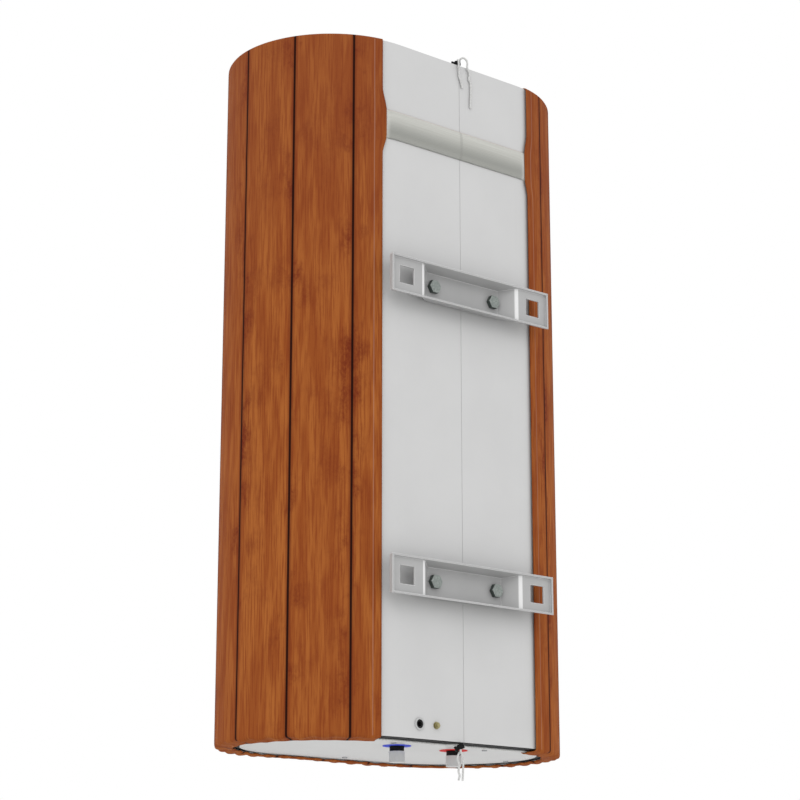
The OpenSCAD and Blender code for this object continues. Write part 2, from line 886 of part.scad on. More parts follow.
casing_shell();
top_cap();
base_ring();
bottom_cover();
bottom_cover_screws();
insulation_foam();
cold_tank();
hot_tank();
tank_link_pipes();
tank_tie_plate();
cold_inlet_pipe();
hot_outlet_pipe();
cold_ring();
hot_ring();
stub_collars();
stub_nipples();
stub_plugs();
support_rails();
rail_bosses();
upper_bracket();
lower_bracket();
bracket_bolts();
cable_gland();
gland_nut();
gland_grommet();
earth_screw();
earth_washer();
element_flanges();
flange_gaskets();
flange_bolts();
heating_elements();
anode_rods();
sensor_pocket();
thermostat();
thermal_cutout();
terminal_block();
internal_wiring();
control_panel();
display_window();
control_board();
knob_encoder();
temperature_knob();
power_button();
button_switch();
textile_cover();
cover_strap();
bottom_drawstring();
top_drawstring();
bottom_lock_barrel();
bottom_lock_plunger();
top_lock_barrel();
top_lock_plunger();
bottom_tail_a();
bottom_tail_b();
top_tail_a();
top_tail_b();
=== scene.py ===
"""Looks of a wall-hung flat water heater in a plank-print textile cover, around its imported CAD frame.

Everything is in metres in the row frame: X across the wall, +Y into the wall, Z up. Lengths that
belong to the casing are given in its own frame, in millimetres, and row() turns them into metres.
"""

import json
import math

import bpy
import numpy as np
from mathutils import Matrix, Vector


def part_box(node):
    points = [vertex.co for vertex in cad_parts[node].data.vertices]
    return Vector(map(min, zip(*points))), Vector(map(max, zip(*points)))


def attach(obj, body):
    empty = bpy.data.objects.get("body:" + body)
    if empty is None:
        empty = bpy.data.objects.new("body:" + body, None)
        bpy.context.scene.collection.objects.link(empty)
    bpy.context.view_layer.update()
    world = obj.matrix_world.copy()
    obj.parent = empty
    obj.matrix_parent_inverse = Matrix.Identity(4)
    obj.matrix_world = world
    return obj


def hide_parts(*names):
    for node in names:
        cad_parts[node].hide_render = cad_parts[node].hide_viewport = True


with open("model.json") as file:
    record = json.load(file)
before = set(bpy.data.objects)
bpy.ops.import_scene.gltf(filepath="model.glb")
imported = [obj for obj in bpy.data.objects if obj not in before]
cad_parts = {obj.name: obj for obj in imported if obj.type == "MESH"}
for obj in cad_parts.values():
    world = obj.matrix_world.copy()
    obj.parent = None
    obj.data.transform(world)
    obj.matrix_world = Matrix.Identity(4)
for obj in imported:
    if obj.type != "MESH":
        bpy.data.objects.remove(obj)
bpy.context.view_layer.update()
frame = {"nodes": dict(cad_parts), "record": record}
NODES = frame["nodes"]
SLOT_OF = {s["node"]: s["material_slot"] for s in frame["record"]["subparts"]}

MM = 0.001
SHELL_LOW, SHELL_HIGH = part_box("casing_shell")
CASE_R = (SHELL_HIGH.y - SHELL_LOW.y) / 2 / MM
HALF_FLAT = (SHELL_HIGH.x - SHELL_LOW.x) / 2 / MM - CASE_R
CENTRE_Y = (SHELL_HIGH.y + SHELL_LOW.y) / 2
EDGE_ABOVE_UNDERSIDE = 1.5
UNDERSIDE_Z = SHELL_LOW.z - EDGE_ABOVE_UNDERSIDE * MM
CASE_H = (SHELL_HIGH.z - UNDERSIDE_Z) / MM


def row(x, y, z):
    """A point of the casing's frame, in millimetres, as a point of the row frame in metres."""
    return Vector((x * MM, CENTRE_Y + y * MM, UNDERSIDE_Z + z * MM))


# ------------------------------------------------------------------ camera

def make_camera():
    """Behind the heater and below it, looking up at its rear."""
    data = bpy.data.cameras.new("camera")
    data.lens = 97.19
    data.sensor_width = 36
    data.clip_start = 0.05
    data.clip_end = 50
    camera = bpy.data.objects.new("camera", data)
    bpy.context.scene.collection.objects.link(camera)
    camera.location = (1.90761, 2.08734, -0.89428)
    target = Vector((-0.00947, -0.16531, -0.11889))
    camera.rotation_euler = (target - camera.location).to_track_quat("-Z", "Y").to_euler()
    bpy.context.scene.camera = camera


# ------------------------------------------------------------------ mesh helpers

def mesh_object(name, points, faces, smooth=True):
    mesh = bpy.data.meshes.new(name)
    mesh.from_pydata([tuple(p) for p in points], [], faces)
    mesh.polygons.foreach_set("use_smooth", [smooth] * len(mesh.polygons))
    mesh.update()
    obj = bpy.data.objects.new(name, mesh)
    bpy.context.scene.collection.objects.link(obj)
    return obj


ROUTE_STEPS = 24


def smooth_route(points, spacing):
    """A Catmull-Rom curve through given points, resampled at an even spacing."""
    p = np.array([tuple(q) for q in points])
    ends = np.vstack([2 * p[0] - p[1], p, 2 * p[-1] - p[-2]])
    t = np.linspace(0, 1, ROUTE_STEPS, endpoint=False)[:, None]
    spans = []
    for i in range(len(p) - 1):
        a, b, c, d = ends[i:i + 4]
        spans.append(0.5 * (2 * b + (c - a) * t + (2 * a - 5 * b + 4 * c - d) * t**2
                            + (3 * b - a - 3 * c + d) * t**3))
    fine = np.vstack(spans + [p[-1:]])
    along = np.concatenate([[0], np.cumsum(np.linalg.norm(np.diff(fine, axis=0), axis=1))])
    count = max(2, int(round(along[-1] / spacing)))
    at = np.linspace(0, along[-1], count + 1)
    return np.column_stack([np.interp(at, along, fine[:, k]) for k in range(3)]), along[-1]


STRING_SIDES = 12
STRANDS = 3
STRAND_RELIEF = 0.13
STRAND_FULLNESS = 1.4
STRAND_LAY = 4.2 * MM


def twisted_string(name, line, radius, spacing):
    """A laid cord along line: a tube whose surface carries the strands that wind round it."""
    tangents = np.gradient(line, axis=0)
    tangents /= np.linalg.norm(tangents, axis=1)[:, None]
    side = np.cross(tangents[0], (0.0, 0.6, 0.8))
    points = []
    for i, (centre, tangent) in enumerate(zip(line, tangents)):
        side = side - tangent * (side @ tangent)
        side /= np.linalg.norm(side)
        other = np.cross(tangent, side)
        turn = 2 * math.pi * i * spacing / STRAND_LAY
        for k in range(STRING_SIDES):
            a = 2 * math.pi * k / STRING_SIDES
            strand = abs(math.cos(STRANDS * (a - turn) / 2)) * STRAND_FULLNESS
            r = radius * (1 - STRAND_RELIEF + STRAND_RELIEF * strand)
            points.append(centre + r * (math.cos(a) * side + math.sin(a) * other))
    faces = [(i * STRING_SIDES + k, i * STRING_SIDES + (k + 1) % STRING_SIDES,
              (i + 1) * STRING_SIDES + (k + 1) % STRING_SIDES, (i + 1) * STRING_SIDES + k)
             for i in range(len(line) - 1) for k in range(STRING_SIDES)]
    faces += [tuple(range(STRING_SIDES))[::-1],
              tuple((len(line) - 1) * STRING_SIDES + k for k in range(STRING_SIDES))]
    return mesh_object(name, points, faces)


# ------------------------------------------------------------------ drawstrings

STRING_R = 1.4
TAILS = {
    "bottom_tail_a": [(8.5, 150.8, -8.2), (8.7, 151.1, -11.4), (6.3, 151, -15.6), (3.6, 149.8, -21),
                      (3.2, 149.4, -28), (3.6, 149.2, -40), (4.3, 149.2, -48)],
    "bottom_tail_b": [(6.1, 148.4, -8.9), (7.8, 147.9, -11.8), (11, 148.2, -15.8), (11.5, 147.8, -21),
                      (8.6, 147.4, -27.3), (9.2, 147, -36.5), (7.4, 147, -41.5), (9.3, 147, -47.7)],
    "top_tail_a": [(0.2, 144.9, CASE_H + 9.5), (0.6, 147.4, CASE_H + 8.4), (2.3, 149.8, CASE_H + 4.4),
                   (2.9, 150.6, CASE_H - 2.2), (1.9, 150, CASE_H - 9), (1.2, 149.4, CASE_H - 17.5),
                   (-1.8, 149.2, CASE_H - 24.5), (-4.7, 149.2, CASE_H - 33.5)],
    "top_tail_b": [(-2.9, 143.9, CASE_H + 9), (-4, 146.8, CASE_H + 11.6), (-6.2, 149, CASE_H + 13.1),
                   (-10, 150.2, CASE_H + 12), (-13.1, 150.8, CASE_H + 8), (-13.3, 150.4, CASE_H),
                   (-17.3, 149.6, CASE_H - 5.6), (-18.4, 149.2, CASE_H - 11.2), (-17.3, 149.2, CASE_H - 16.4),
                   (-20.2, 149.2, CASE_H - 21.6), (-20.8, 149.2, CASE_H - 30), (-20.7, 149.2, CASE_H - 38.5),
                   (-20.1, 149.2, CASE_H - 47), (-19.9, 149.2, CASE_H - 60)],
}
TAIL_SPACING = 0.35 * MM


def make_tails(material):
    for node, route in TAILS.items():
        line, length = smooth_route([row(*p) for p in route], TAIL_SPACING)
        tail = twisted_string(node + "_string", line, STRING_R * MM, TAIL_SPACING)
        tail.data.materials.append(material)
        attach(tail, "heater")
        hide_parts(node)


STRING_PATH_R = 130
STRING_ARC_STEPS = 48
STRING_SPACING = 0.6 * MM
STRING_Z_LOW = -0.95
STRING_Z_TOP = CASE_H + 1.5


def make_drawstring(node, z, lead_right, lead_left, material):
    """The string in one hem: from its lock along the rear, round one end, the front and the other end."""
    turns = np.radians(np.linspace(90, -90, STRING_ARC_STEPS))
    right = [(HALF_FLAT + STRING_PATH_R * math.cos(a), STRING_PATH_R * math.sin(a), z) for a in turns]
    left = [(-x, y, z) for x, y, _ in right[::-1]]
    route = [row(*p) for p in lead_right[::-1] + right + left + lead_left]
    line, _ = smooth_route(route, STRING_SPACING)
    string = twisted_string(node + "_string", line, STRING_R * MM, STRING_SPACING)
    string.data.materials.append(material)
    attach(string, "heater")
    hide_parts(node)


def make_drawstrings(material):
    r = STRING_PATH_R
    make_drawstring("bottom_drawstring", STRING_Z_LOW,
                    [(22, r, STRING_Z_LOW), (12, 140, -1.3), (7.3, 145.5, -2)],
                    [(-4, r, STRING_Z_LOW), (1, 141, -1.4), (4.1, 147.1, -1.8)], material)
    make_drawstring("top_drawstring", STRING_Z_TOP,
                    [(2, r, STRING_Z_TOP), (-1, 136.5, CASE_H + 1.6), (-2.6, 140.3, CASE_H + 2.9)],
                    [(-14, r, STRING_Z_TOP), (-8, 138.5, CASE_H + 1.7), (-5, 142.2, CASE_H + 3.3)], material)


# ------------------------------------------------------------------ textile cover

CLOTH_OUT = 2.6
CLOTH_T = 1.0
COVER_R = CASE_R + CLOTH_OUT
COVER_EDGE_RIGHT = 140.5
COVER_EDGE_LEFT = 129.5
HEM_W = 24
STRAP_Z = 833
STRAP_H = 42
COLUMN_STEP = 3.6
ROW_STEP = 9.0
FIRST_ROW = 26
PULL_RIGHT, PULL_RIGHT_REACH = 6.2, 13
PULL_LEFT, PULL_LEFT_REACH = 5.3, 34
PULL_BELOW, PULL_ABOVE = 22, 28
SCALLOP_PITCH = 29.0
SCALLOP_DEPTH = 3.0
SCALLOP_DRIFT = 5
INNER_HEM = 12
INNER_HEM_SHARE = 0.45
HEM_WAVE = 1.3
STITCH_RIGHT = 153.0
STITCH_LEFT = 141.5
HALF_PERIMETER = 2 * HALF_FLAT + math.pi * COVER_R
PLANK_PITCH = 81.7
FIRST_LINE = 182.6
LAST_LINE = 2 * HALF_PERIMETER - 165.5


def outline(s, inset):
    """Plan point at arc length s round the cover, from the rear's middle past +X, moved inwards."""
    mirrored = s > HALF_PERIMETER
    if mirrored:
        s = 2 * HALF_PERIMETER - s
    r = COVER_R - inset
    if s < HALF_FLAT:
        x, y = s, r
    elif s < HALF_FLAT + math.pi * COVER_R:
        a = (s - HALF_FLAT) / COVER_R
        x, y = HALF_FLAT + r * math.sin(a), r * math.cos(a)
    else:
        x, y = HALF_PERIMETER - s, -r
    return (-x if mirrored else x), y


def plank_coordinate(s):
    """Whole numbers at the dark lines between planks; the last plank before the rear is narrower."""
    k = (s - FIRST_LINE) / PLANK_PITCH
    full = math.floor((LAST_LINE - FIRST_LINE) / PLANK_PITCH)
    start = FIRST_LINE + full * PLANK_PITCH
    if s > start:
        k = full + min((s - start) / (LAST_LINE - start), 1) + max(0, s - LAST_LINE) / PLANK_PITCH
    return k


def smoothstep(x):
    x = min(max(x, 0.0), 1.0)
    return x * x * (3 - 2 * x)


def strap_pull(z, depth):
    """How far the strap pulls the cover's rear edge towards the middle at height z."""
    above = min(max((z - (STRAP_Z - STRAP_H / 2 - PULL_BELOW)) / PULL_BELOW, 0), 1)
    below = min(max(((STRAP_Z + STRAP_H / 2 + PULL_ABOVE) - z) / PULL_ABOVE, 0), 1)
    return depth * (above + smoothstep(above)) * (below + smoothstep(below)) / 4


def bottom_hem():
    """Rows from the hem's edge to the side wall: (inset, height, cloth height, share of the waves)."""
    under = [(24, -0.7, 1), (22.6, -2.5, 0.6), (20, -3.2, 0.4), (17.5, -2.7, 0.4), (14, -1.5, 0.6),
             (9, -0.7, 0.9), (5, -0.5, 1), (2.2, -0.2, 1), (0.8, 0.5, 1), (0.1, 1.8, 0.9)]
    return ([(inset, z, -inset, wave) for inset, z, wave in under]
            + [(0, z, z, max(0, 0.6 - z / 20)) for z in (4, 7, 12, 18)])


def top_hem():
    """Rows from the side wall to the hem's edge, as heights above the casing's top."""
    over = [(0, -18), (0, -7), (0, -3), (0.1, -1.4), (0.8, -0.2), (2.2, 0.5), (5, 1.1), (9, 1.4), (14, 2.2),
            (17.5, 3.4), (20, 4.1), (22.6, 3.2), (24, 0.8)]
    return [(inset, CASE_H + z, CASE_H + (inset if inset else z), 0.0) for inset, z in over]


# the opening in front of the control panel
WINDOW_LOW, WINDOW_HIGH = 87, 149
WINDOW_HALF = 87
WINDOW_CLEAR = 3


def cover_rows():
    heights = sorted(set(list(np.arange(FIRST_ROW, CASE_H - 20, ROW_STEP)) + [WINDOW_LOW, WINDOW_HIGH]))
    heights = [h for h in heights if h in (WINDOW_LOW, WINDOW_HIGH)
               or min(abs(h - WINDOW_LOW), abs(h - WINDOW_HIGH)) > WINDOW_CLEAR]
    return bottom_hem() + [(0, z, z, 0.0) for z in heights] + top_hem()


def rear_edge(x):
    """Arc length from the rear's middle to a rear edge of the cover at distance x."""
    return HALF_FLAT + COVER_R * math.asin((x - HALF_FLAT) / COVER_R)


def cover_columns():
    first, last = rear_edge(COVER_EDGE_RIGHT), 2 * HALF_PERIMETER - rear_edge(COVER_EDGE_LEFT)
    columns = np.linspace(first, last, int((last - first) / COLUMN_STEP))
    for x in (WINDOW_HALF, -WINDOW_HALF):
        s = HALF_PERIMETER - x
        columns[np.abs(columns - s).argmin()] = s
    return columns


def hem_inset(s, inset):
    """The hem's edge waves a little."""
    share = inset / HEM_W
    return inset - share**2 * HEM_WAVE * math.sin(s / 17.0 + 0.8 * math.sin(s / 61.0))


def scallop(s):
    """How far the gathered hem drops at arc length s, from 0 to 1; the gathers aren't quite even."""
    phase = 2 * math.pi * (s + SCALLOP_DRIFT * math.sin(s / 83.0)) / SCALLOP_PITCH
    return (0.5 - 0.5 * math.cos(phase)) * (0.75 + 0.25 * math.sin(s / 37.0))


def make_cover(material):
    """The printed cover: a sheet round the sides and front, turned in at both ends."""
    rows, columns = cover_rows(), cover_columns()
    points, wrap = [], []
    for inset, z, v, wave in rows:
        for s in columns:
            pull_right = strap_pull(z, PULL_RIGHT) * smoothstep(1 - (s - columns[0]) / PULL_RIGHT_REACH)
            pull_left = strap_pull(z, PULL_LEFT) * smoothstep(1 - (columns[-1] - s) / PULL_LEFT_REACH)
            moved = s - pull_right + pull_left
            drop = SCALLOP_DEPTH * wave * scallop(s)
            if inset > INNER_HEM:
                drop *= INNER_HEM_SHARE
            x, y = outline(moved, hem_inset(s, inset))
            points.append(row(x, y, z - drop))
            wrap.append((plank_coordinate(s), v * MM, s * MM))
    n = len(columns)
    faces = []
    for i in range(len(rows) - 1):
        beside_window = rows[i][0] == 0 and rows[i][1] >= WINDOW_LOW and rows[i + 1][1] <= WINDOW_HIGH
        for j in range(n - 1):
            middle = (columns[j] + columns[j + 1]) / 2
            if beside_window and abs(middle - HALF_PERIMETER) < WINDOW_HALF:
                continue
            faces.append((i * n + j, i * n + j + 1, (i + 1) * n + j + 1, (i + 1) * n + j))
    cover = mesh_object("plank_cover", points, faces)
    attribute = cover.data.attributes.new("wrap", "FLOAT_VECTOR", "POINT")
    attribute.data.foreach_set("vector", np.array(wrap, np.float32).ravel())
    cover.data.materials.append(material)
    thickness = cover.modifiers.new("cloth_thickness", "SOLIDIFY")
    thickness.thickness = CLOTH_T * MM
    thickness.offset = -1
    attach(cover, "heater")
    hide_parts("textile_cover")


# ------------------------------------------------------------------ knob pointer

KNOB_X, KNOB_FACE_Y, KNOB_Z = -52, -168, 118
INLAY_HALF_W = 0.8
INLAY_DEPTHS = (0.1, 0.98)
INLAY_HEIGHTS = (6.2, 15.8)


def make_knob_pointer(material):
    """A dark inlay that fills the groove in the knob's face and shows how far it is turned."""
    xs = (KNOB_X - INLAY_HALF_W, KNOB_X + INLAY_HALF_W)
    ys = [KNOB_FACE_Y + depth for depth in INLAY_DEPTHS]
    zs = [KNOB_Z + height for height in INLAY_HEIGHTS]
    corners = [row(x, y, z) for x in xs for y in ys for z in zs]
    faces = [(0, 1, 3, 2), (4, 6, 7, 5), (0, 4, 5, 1), (2, 3, 7, 6), (0, 2, 6, 4), (1, 5, 7, 3)]
    pointer = mesh_object("knob_pointer", corners, faces, smooth=False)
    pointer.data.materials.append(material)
    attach(pointer, "knob")


# ------------------------------------------------------------------ elastic strap

STRAP_ROWS = 30
STRAP_COLUMNS = 90
STRAP_UNDER_COVER = 1.5
STRAP_END = 22
STRAP_T = 0.5
STRAP_PROUD = 0.6
STRAP_SWELL_MIN, STRAP_SWELL_MORE = 0.6, 3.4


def make_strap(material):
    """The band across the rear: it swells between its edges and runs under the cover at both ends."""
    left, right = -COVER_EDGE_LEFT - STRAP_UNDER_COVER, COVER_EDGE_RIGHT + STRAP_UNDER_COVER
    points = []
    for i in range(STRAP_ROWS + 1):
        t = i / STRAP_ROWS
        for j in range(STRAP_COLUMNS + 1):
            x = left + (right - left) * j / STRAP_COLUMNS
            end = smoothstep(min(right - x, x - left) / STRAP_END)
            swell = (1 - abs(2 * t - 1) ** 2.6) ** 0.5
            proud = STRAP_PROUD + (STRAP_SWELL_MIN + STRAP_SWELL_MORE * end) * swell
            s = abs(x) if abs(x) < HALF_FLAT else rear_edge(abs(x))
            px, py = outline(s, COVER_R - CASE_R - proud)
            points.append(row(math.copysign(px, x), py, STRAP_Z + STRAP_H * (t - 0.5)))
    n = STRAP_COLUMNS + 1
    faces = [(i * n + j + 1, i * n + j, (i + 1) * n + j, (i + 1) * n + j + 1)
             for i in range(STRAP_ROWS) for j in range(STRAP_COLUMNS)]
    strap = mesh_object("elastic_strap", points, faces)
    strap.data.materials.append(material)
    thickness = strap.modifiers.new("band_thickness", "SOLIDIFY")
    thickness.thickness = STRAP_T * MM
    thickness.offset = -1
    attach(strap, "heater")
    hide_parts("cover_strap")


# ------------------------------------------------------------------ materials

def srgb(r, g, b):
    """A display colour, 0 to 255, as the linear colour that a shader takes."""
    def channel(c):
        c /= 255
        return c / 12.92 if c <= 0.04045 else ((c + 0.055) / 1.055) ** 2.4
    return (channel(r), channel(g), channel(b), 1.0)


class Surface:
    """One material: a principled shader, and short ways to add the nodes that feed it."""

    def __init__(self, name):
        self.material = bpy.data.materials.new(name)
        self.material.use_nodes = True
        self.tree = self.material.node_tree
        self.shader = self.tree.nodes["Principled BSDF"]

    def node(self, kind, **settings):
        made = self.tree.nodes.new(kind)
        for key, value in settings.items():
            setattr(made, key, value)
        return made

    def put(self, socket, value):
        if hasattr(value, "is_output"):
            self.tree.links.new(value, socket)
        else:
            socket.default_value = value

    def set(self, **sockets):
        for key, value in sockets.items():
            self.put(self.shader.inputs[key.replace("_", " ")], value)

    def math(self, operation, a, b=0.0):
        made = self.node("ShaderNodeMath", operation=operation)
        self.put(made.inputs[0], a)
        self.put(made.inputs[1], b)
        return made.outputs[0]

    def place(self):
        return self.node("ShaderNodeTexCoord").outputs["Object"]

    def split(self, vector):
        made = self.node("ShaderNodeSeparateXYZ")
        self.put(made.inputs[0], vector)
        return made.outputs

    def join(self, x, y, z):
        made = self.node("ShaderNodeCombineXYZ")
        for socket, value in zip(made.inputs, (x, y, z)):
            self.put(socket, value)
        return made.outputs[0]

    def noise(self, vector, scale, detail=3.0, roughness=0.5):
        made = self.node("ShaderNodeTexNoise")
        self.put(made.inputs["Vector"], vector)
        for key, value in (("Scale", scale), ("Detail", detail), ("Roughness", roughness)):
            made.inputs[key].default_value = value
        return made.outputs["Fac"]

    def stretch(self, vector, factors):
        made = self.node("ShaderNodeMapping")
        self.put(made.inputs["Vector"], vector)
        made.inputs["Scale"].default_value = factors
        return made.outputs[0]

    def remap(self, value, low, high, to_low=0.0, to_high=1.0, smooth=True):
        made = self.node("ShaderNodeMapRange", interpolation_type="SMOOTHSTEP" if smooth else "LINEAR")
        self.put(made.inputs["Value"], value)
        for key, number in (("From Min", low), ("From Max", high), ("To Min", to_low), ("To Max", to_high)):
            made.inputs[key].default_value = number
        return made.outputs[0]

    def mix(self, factor, a, b):
        made = self.node("ShaderNodeMix", data_type="RGBA")
        self.put(made.inputs[0], factor)
        self.put(made.inputs[6], a)
        self.put(made.inputs[7], b)
        return made.outputs[2]

    def paint_occlusion_shade(self, reach, dark, strength):
        """Painted shade: darken the base colour where nearby parts close it in, as an occlusion shadow falls
        there.
        """
        near = self.node("ShaderNodeAmbientOcclusion", samples=8)
        near.inputs["Distance"].default_value = reach
        base = self.shader.inputs["Base Color"].links[0].from_socket
        # painted shade: the more the surface is closed in, the more of the dark colour
        occlusion_shade = self.remap(near.outputs["AO"], 0.25, 1.0, strength, 0.0, smooth=False)
        self.set(Base_Color=self.mix(occlusion_shade, base, dark))

    def bump(self, height, distance, strength):
        made = self.node("ShaderNodeBump")
        made.inputs["Strength"].default_value = strength
        made.inputs["Distance"].default_value = distance
        self.put(made.inputs["Height"], height)
        self.set(Normal=made.outputs[0])


THREADS = 5200.0
RIBS = 2800.0


def plank_textile():
    """Cloth printed as planks: fine grain along the height, red-brown stains, and dark lines between."""
    m = Surface("plank_textile")
    wrap = m.node("ShaderNodeAttribute", attribute_name="wrap").outputs["Vector"]
    plank, v, s = m.split(wrap)
    number = m.math("FLOOR", plank)
    shift = m.math("MULTIPLY", number, 3.7)
    grain_at = m.join(m.math("ADD", s, shift), m.math("MULTIPLY", v, 0.035), shift)
    broad_at = m.join(m.math("ADD", s, shift), m.math("MULTIPLY", v, 0.1), shift)
    stain_at = m.join(m.math("ADD", s, shift), m.math("MULTIPLY", v, 0.55), shift)
    grain = m.noise(grain_at, 420, 3, 0.6)
    broad = m.noise(broad_at, 75, 3, 0.55)
    stain = m.noise(stain_at, 17, 6, 0.66)
    speck = m.noise(m.join(s, m.math("MULTIPLY", v, 0.6), shift), 330, 2, 0.6)
    per_plank = m.node("ShaderNodeTexWhiteNoise", noise_dimensions="1D")
    m.put(per_plank.inputs["W"], number)

    light, middle, dark = srgb(170, 99, 46), srgb(150, 79, 35), srgb(110, 42, 22)
    part = m.math("FRACT", plank)
    nearest = m.math("MULTIPLY", m.math("MINIMUM", part, m.math("SUBTRACT", 1.0, part)), PLANK_PITCH)
    colour = m.mix(m.remap(broad, 0.38, 0.62), middle, light)
    colour = m.mix(m.math("MULTIPLY", m.remap(grain, 0.45, 0.62), 0.6), colour, srgb(126, 56, 27))
    by_line = m.remap(nearest, 4.0, 26.0, 1.0, 0.35)  # stains gather beside the lines
    stained = m.math("MULTIPLY", m.remap(stain, 0.49, 0.66), m.remap(speck, 0.3, 0.62, 0.5, 1.0))
    colour = m.mix(m.math("MULTIPLY", stained, by_line), colour, dark)
    colour = m.mix(m.remap(per_plank.outputs["Value"], 0, 1, 0.0, 0.2), colour, srgb(132, 62, 29))
    colour = m.mix(m.remap(v, 0.45, 0.95, 0.0, 0.32), colour, srgb(128, 66, 42))

    ragged = m.math("ADD", nearest, m.math("MULTIPLY", m.math("SUBTRACT", grain, 0.5), 0.7))
    colour = m.mix(m.remap(ragged, 1.6, 6.0, 0.45, 0.0), colour, srgb(96, 34, 19))
    colour = m.mix(m.remap(ragged, 0.9, 2.1, 0.96, 0.0), colour, srgb(26, 8, 7))

    beside = m.math("MULTIPLY", m.remap(v, 0.0, 0.002), m.remap(v, (CASE_H - 2) * MM, CASE_H * MM, 1.0, 0.0))
    for seam in (STITCH_RIGHT * MM, (2 * HALF_PERIMETER - STITCH_LEFT) * MM):
        off = m.math("ABSOLUTE", m.math("SUBTRACT", s, seam))
        stitch = m.math("MULTIPLY", m.remap(off, 0.0004, 0.0011, 0.38, 0.0), beside)
        colour = m.mix(stitch, colour, srgb(176, 134, 116))
    m.set(Base_Color=colour, Roughness=m.remap(grain, 0.3, 0.7, 0.7, 0.85))
    m.shader.inputs["Specular IOR Level"].default_value = 0.06
    weave = m.math("MULTIPLY", m.math("SINE", m.math("MULTIPLY", s, THREADS)),
                   m.math("SINE", m.math("MULTIPLY", v, THREADS)))
    m.bump(m.math("ADD", m.math("MULTIPLY", weave, 0.5), m.math("MULTIPLY", grain, 0.8)), 0.0001, 0.5)
    return m.material


def strap_elastic():
    """Ribbed elastic with ribs along it, a brown thread at its top and a line at x = 0; painted shade makes
    it darker towards its lower edge and lighter upwards.
    """
    m = Surface("strap_elastic")
    x, _, z = m.split(m.place())
    lower_edge = row(0, 0, STRAP_Z - STRAP_H / 2).z
    height = m.math("DIVIDE", m.math("SUBTRACT", z, lower_edge), STRAP_H * MM)
    rib = m.math("SINE", m.math("MULTIPLY", z, RIBS))
    streak = m.noise(m.stretch(m.place(), (3.0, 3.0, 260.0)), 3.0, 4, 0.6)
    # painted shade: dark at the lower edge of the swell and lighter upwards, as light from above falls on it
    colour = m.mix(m.remap(height, 0.0, 0.22), srgb(164, 165, 160), srgb(150, 151, 146))
    colour = m.mix(m.remap(height, 0.2, 0.85), colour, srgb(200, 200, 194))
    colour = m.mix(m.remap(streak, 0.35, 0.65, 0.0, 0.25), colour, srgb(158, 158, 150))
    colour = m.mix(m.remap(m.math("ABSOLUTE", x), 0.0012, 0.0036, 0.3, 0.0), colour, srgb(135, 135, 130))
    colour = m.mix(m.remap(height, 0.955, 0.985, 0.0, 0.7), colour, srgb(201, 178, 166))
    middle = (COVER_EDGE_RIGHT - COVER_EDGE_LEFT) / 2 * MM
    from_middle = m.math("ABSOLUTE", m.math("SUBTRACT", x, middle))
    colour = m.mix(m.remap(from_middle, 0.121, 0.132), colour, srgb(210, 210, 206))
    m.set(Base_Color=colour, Roughness=0.8)
    m.shader.inputs["Sheen Weight"].default_value = 0.15
    m.bump(m.math("ADD", rib, m.math("MULTIPLY", streak, 2.0)), 0.00012, 0.7)
    return m.material


def string_braid():
    """White laid cord with fuzz, and greyer noise patches painted as shade where the strands meet."""
    m = Surface("string_braid")
    fuzz = m.noise(m.place(), 2600, 3, 0.6)
    # painted shade: grey noise patches standing for the shade between the strands
    strand_gap_shade = m.noise(m.place(), 700, 2, 0.5)
    colour = m.mix(m.remap(fuzz, 0.35, 0.7, 0.0, 0.5), srgb(226, 226, 225), srgb(188, 188, 186))
    colour = m.mix(m.remap(strand_gap_shade, 0.44, 0.58, 0.0, 0.4), colour, srgb(168, 168, 166))
    m.set(Base_Color=colour, Roughness=0.85)
    m.shader.inputs["Sheen Weight"].default_value = 0.2
    m.bump(fuzz, 0.0002, 0.8)
    return m.material


def coated(name, colour, second, roughness, metallic=0.0, grain=90.0, bump=0.00004, spread=0.12, coat=0.0):
    """Paint, plastic or plated metal: a slight tone change, uneven gloss and a fine surface grain."""
    m = Surface(name)
    cloud = m.noise(m.place(), 9, 4, 0.55)
    fine = m.noise(m.place(), grain * 12, 2, 0.5)
    m.set(Base_Color=m.mix(m.remap(cloud, 0.3, 0.7), colour, second),
          Roughness=m.remap(fine, 0.3, 0.7, roughness - spread / 2, roughness + spread / 2))
    m.shader.inputs["Metallic"].default_value = metallic
    m.shader.inputs["Coat Weight"].default_value = coat
    m.bump(fine, bump, 0.5)
    return m


def casing_enamel():
    """White powder coat: faint orange peel, with painted shade where the brackets and other parts close it
    in.
    """
    m = coated("casing_enamel", srgb(207, 207, 207), srgb(204, 204, 204), 0.42, bump=0.000004)
    # painted shade: an occlusion shadow darkens the casing round the brackets and in recesses
    m.paint_occlusion_shade(0.09, srgb(124, 124, 124), 0.38)
    return m.material


